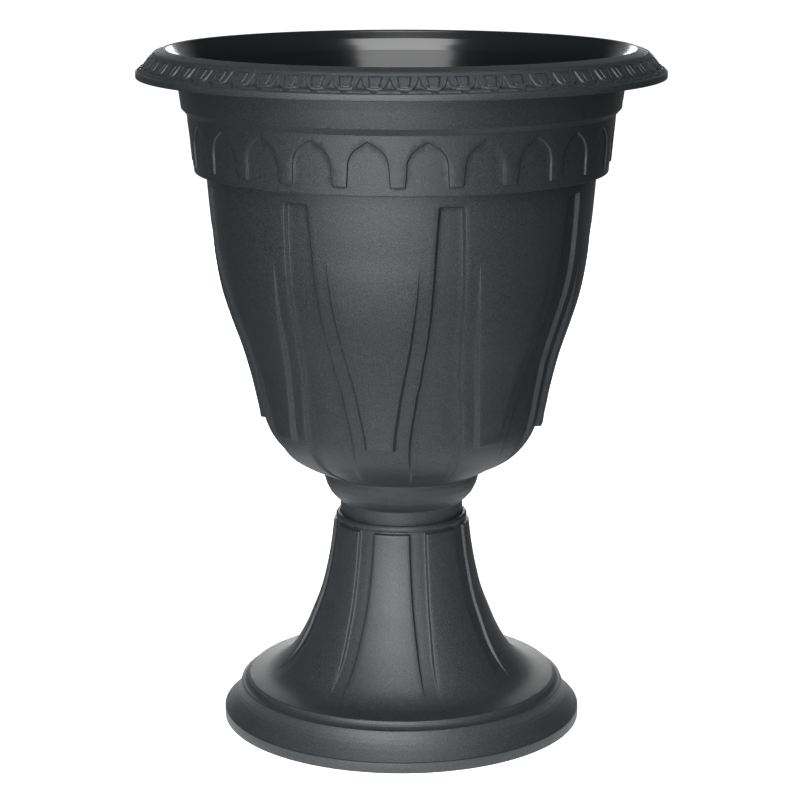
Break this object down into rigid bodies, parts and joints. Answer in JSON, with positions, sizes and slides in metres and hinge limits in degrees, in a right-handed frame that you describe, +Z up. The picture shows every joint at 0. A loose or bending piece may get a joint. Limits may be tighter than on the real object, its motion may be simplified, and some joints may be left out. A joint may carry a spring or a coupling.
{
  "type": "urn planter",
  "caption": "Footed garden urn in moulded plastic: a fluted bowl with a rolled, banded rim, twist-locked into a hollow flared pedestal, with a pull-out drain plug.",
  "frame": {"origin": "middle of the foot, on the ground the urn stands on", "axes": "+Z up along the axis of the urn; one tongue, one arch and one pedestal panel face -Y"},
  "size_m": [0.4064, 0.4064, 0.535],
  "materials": {
    "moulded_plastic": "charcoal moulded plastic with a fine satin grain, glossier inside the bowl",
    "plug_rubber": "black soft rubber, matt"
  },
  "bodies": {
    "pedestal": {"pedestal": "moulded_plastic"},
    "bowl": {"bowl": "moulded_plastic"},
    "drain_plug": {"drain_plug": "plug_rubber"}
  },
  "joints": [
    {"name": "bowl_twist", "type": "hinge", "parent": "pedestal", "child": "bowl", "pos_m": [0, 0, 0.146], "axis": [0, 0, 1], "range_deg": [0, 30]},
    {"name": "plug_pull", "type": "slide", "parent": "bowl", "child": "drain_plug", "axis": [0, 0, 1], "range_m": [0, 0.03]}
  ]
}
